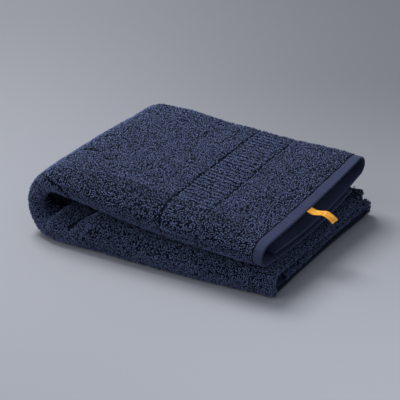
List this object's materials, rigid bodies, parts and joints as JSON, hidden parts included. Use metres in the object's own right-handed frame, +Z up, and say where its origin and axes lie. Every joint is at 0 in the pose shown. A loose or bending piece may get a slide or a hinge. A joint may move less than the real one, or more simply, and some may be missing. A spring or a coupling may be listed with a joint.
{
  "type": "bath towel",
  "caption": "Terry bath towel folded into a soft, layered packet that lies flat, open at the bend, with a ribbed woven border, a flat hem and a short sewn-in ribbon label.",
  "frame": {"origin": "middle of the footprint, on the surface that the folded towel lies on", "axes": "+Z up; +X along the folded packet, from the bend towards the hem end and the label; +Y across it, from the rounded front folds towards the back folds"},
  "size_m": [0.3728, 0.2758, 0.0903],
  "materials": {
    "terry_cotton": "dark blue-grey looped cotton pile, with a close-ribbed woven border and a flat woven hem",
    "woven_ribbon": "golden-orange satin-woven ribbon, bare"
  },
  "bodies": {
    "root": {"towel_cloth": "terry_cotton", "label_ribbon": "woven_ribbon"}
  },
  "joints": []
}
